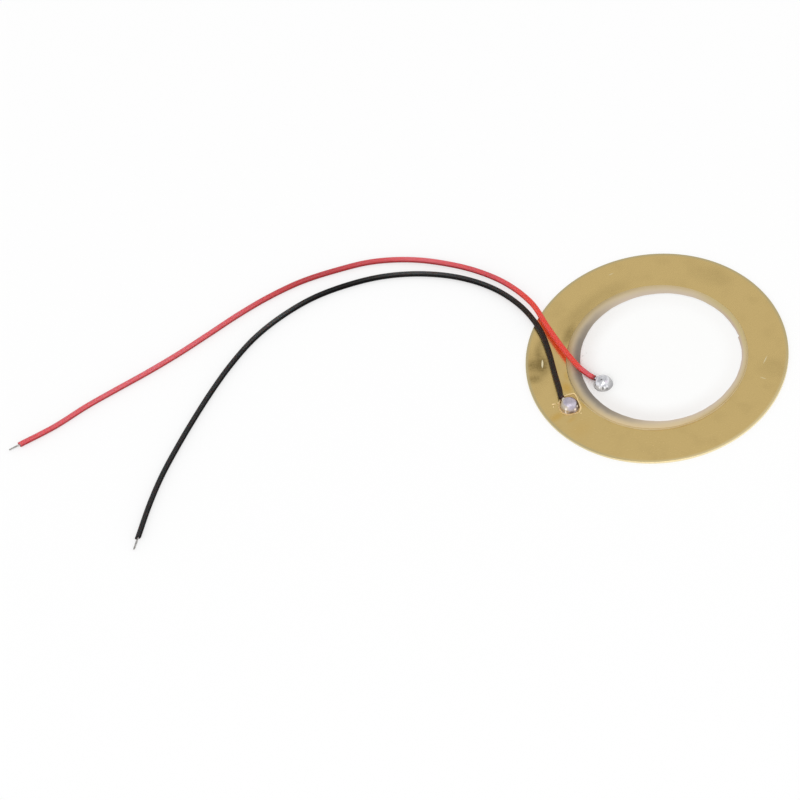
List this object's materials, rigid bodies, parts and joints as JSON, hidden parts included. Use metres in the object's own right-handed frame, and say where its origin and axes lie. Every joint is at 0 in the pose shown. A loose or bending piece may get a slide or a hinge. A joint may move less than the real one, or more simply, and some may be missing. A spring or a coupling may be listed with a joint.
{
  "type": "piezo disc",
  "caption": "Thin round brass plate with a bonded piezo-ceramic disc, a white silver electrode, and a red and a black lead soldered on at one side.",
  "frame": {"origin": "centre of the brass plate's back face", "axes": "+Z normal to the plate, out of the side with the ceramic; the leads run off towards -X"},
  "size_m": [0.1044, 0.0435, 0.0017],
  "materials": {
    "brass_sheet": "satin rolled sheet, a little tarnished",
    "adhesive": "cured epoxy",
    "printed_silver": "matte white fired silver",
    "piezo_ceramic": "bare fired ceramic, satin",
    "bright_solder": "bright solder",
    "satin_solder": "satin solder",
    "flux": "glossy amber rosin",
    "red_insulation": "satin PVC",
    "black_insulation": "satin PVC",
    "tinned_wire": "tinned copper strands"
  },
  "bodies": {
    "root": {"brass_plate": "brass_sheet", "bond_layer": "adhesive", "lower_electrode": "printed_silver", "ceramic_disc": "piezo_ceramic", "upper_electrode": "printed_silver", "red_solder_joint": "bright_solder", "black_solder_joint": "satin_solder", "flux_residue": "flux", "red_lead_insulation": "red_insulation", "red_lead_wire": "tinned_wire", "black_lead_insulation": "black_insulation", "black_lead_wire": "tinned_wire"}
  },
  "joints": []
}
